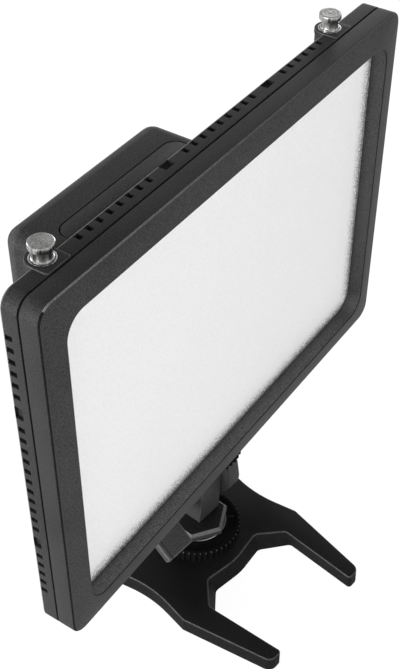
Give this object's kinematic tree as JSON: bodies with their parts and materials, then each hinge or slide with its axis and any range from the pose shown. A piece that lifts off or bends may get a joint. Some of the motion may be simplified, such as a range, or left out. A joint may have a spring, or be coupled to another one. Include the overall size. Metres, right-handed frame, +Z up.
{
  "type": "led video light",
  "caption": "Slim edge-lit LED video light panel with push-in link pins, on a tilting accessory-shoe mount and a fork-shaped table stand.",
  "frame": {"origin": "the stand's underside, on the upright axis of the mount and of the tripod socket", "axes": "+Z up, -Y the way the panel faces, +X to the right of someone looking at its front; the mount and stand are turned 6.4 degrees clockwise from above under the panel, as pictured"},
  "size_m": [0.236, 0.1154, 0.2552],
  "materials": {
    "black_shell": "fine-grained satin",
    "black_housing": "fine-grained satin",
    "black_mount": "satin",
    "black_wheel": "satin",
    "black_stand": "satin",
    "black_control": "satin",
    "gloss_control": "gloss",
    "white_diffuser": "frosted",
    "clear_guide": "clear",
    "white_sheet": "matt",
    "led_board": "matt",
    "bare_aluminium": "rolled",
    "dark_aluminium": "anodised",
    "bright_nickel": "bright",
    "steel": "machined",
    "dark_steel": "blackened",
    "brass": "machined",
    "rubber_pad": "matt",
    "green_board": "satin",
    "blue_wrap": "satin"
  },
  "bodies": {
    "stand": {"stand_base": "black_stand", "shoe_channel": "dark_aluminium", "shoe_screws": "steel", "stand_insert": "brass"},
    "foot": {"shoe_foot": "dark_aluminium"},
    "lower_lock": {"lower_wheel": "black_wheel"},
    "pan_base": {"tilt_base": "black_mount", "flange_washer": "bright_nickel", "set_screw": "dark_steel"},
    "light_head": {"tilt_arm": "black_mount", "hinge_bolt": "steel", "head_stud": "steel", "upper_washer": "bright_nickel", "front_bezel": "black_shell", "diffuser": "white_diffuser", "light_guide": "clear_guide", "reflector_sheet": "white_sheet", "led_strips": "led_board", "back_tray": "bare_aluminium", "rear_shell": "black_shell", "case_screws": "dark_steel", "pin_bushes": "bright_nickel", "rear_housing": "black_housing", "top_cover": "black_housing", "housing_screws": "steel", "driver_board": "green_board", "battery_pack": "blue_wrap", "dc_socket": "black_control", "switch_body": "black_control", "dimmer_pot": "steel", "socket_insert": "brass"},
    "upper_lock": {"upper_wheel": "black_wheel", "wheel_pad": "rubber_pad"},
    "lever": {"wing_lever": "black_mount", "lever_nut": "brass"},
    "left_link_pin": {"left_pin": "bright_nickel"},
    "right_link_pin": {"right_pin": "bright_nickel"},
    "rocker": {"power_rocker": "gloss_control"},
    "dimmer": {"dimmer_knob": "black_control", "dimmer_shaft": "steel"}
  },
  "joints": [
    {"name": "shoe_slide", "type": "slide", "parent": "stand", "child": "foot", "axis": [0.1115, 0.9938, 0], "range_m": [0, 0.018]},
    {"name": "lower_lock_turn", "type": "hinge", "parent": "foot", "child": "lower_lock", "pos_m": [0, 0, 0.01515], "axis": [0, 0, 1], "range_deg": [0, 360]},
    {"name": "pan", "type": "hinge", "parent": "foot", "child": "pan_base", "pos_m": [0, 0, 0.02], "axis": [0, 0, 1], "range_deg": [-180, 180]},
    {"name": "tilt", "type": "hinge", "parent": "pan_base", "child": "light_head", "pos_m": [0, 0, 0.0456], "axis": [0.9938, -0.1115, 0], "range_deg": [-90, 90]},
    {"name": "lever_turn", "type": "hinge", "parent": "light_head", "child": "lever", "pos_m": [0, 0, 0.0456], "axis": [0.9938, -0.1115, 0], "range_deg": [-180, 180]},
    {"name": "upper_lock_turn", "type": "hinge", "parent": "light_head", "child": "upper_lock", "pos_m": [0, 0, 0.07605], "axis": [0, 0, 1], "range_deg": [0, 360]},
    {"name": "left_pin_push", "type": "slide", "parent": "light_head", "child": "left_link_pin", "axis": [0, 0, 1], "range_m": [-0.0038, 0]},
    {"name": "right_pin_push", "type": "slide", "parent": "light_head", "child": "right_link_pin", "axis": [0, 0, 1], "range_m": [-0.0038, 0]},
    {"name": "power_rock", "type": "hinge", "parent": "light_head", "child": "rocker", "pos_m": [-0.06872, 0.0124, 0.1688], "axis": [1, 0, 0], "range_deg": [-16, 0]},
    {"name": "dimmer_turn", "type": "hinge", "parent": "light_head", "child": "dimmer", "pos_m": [-0.03072, 0.0154, 0.1688], "axis": [0, 1, 0], "range_deg": [0, 270]}
  ]
}
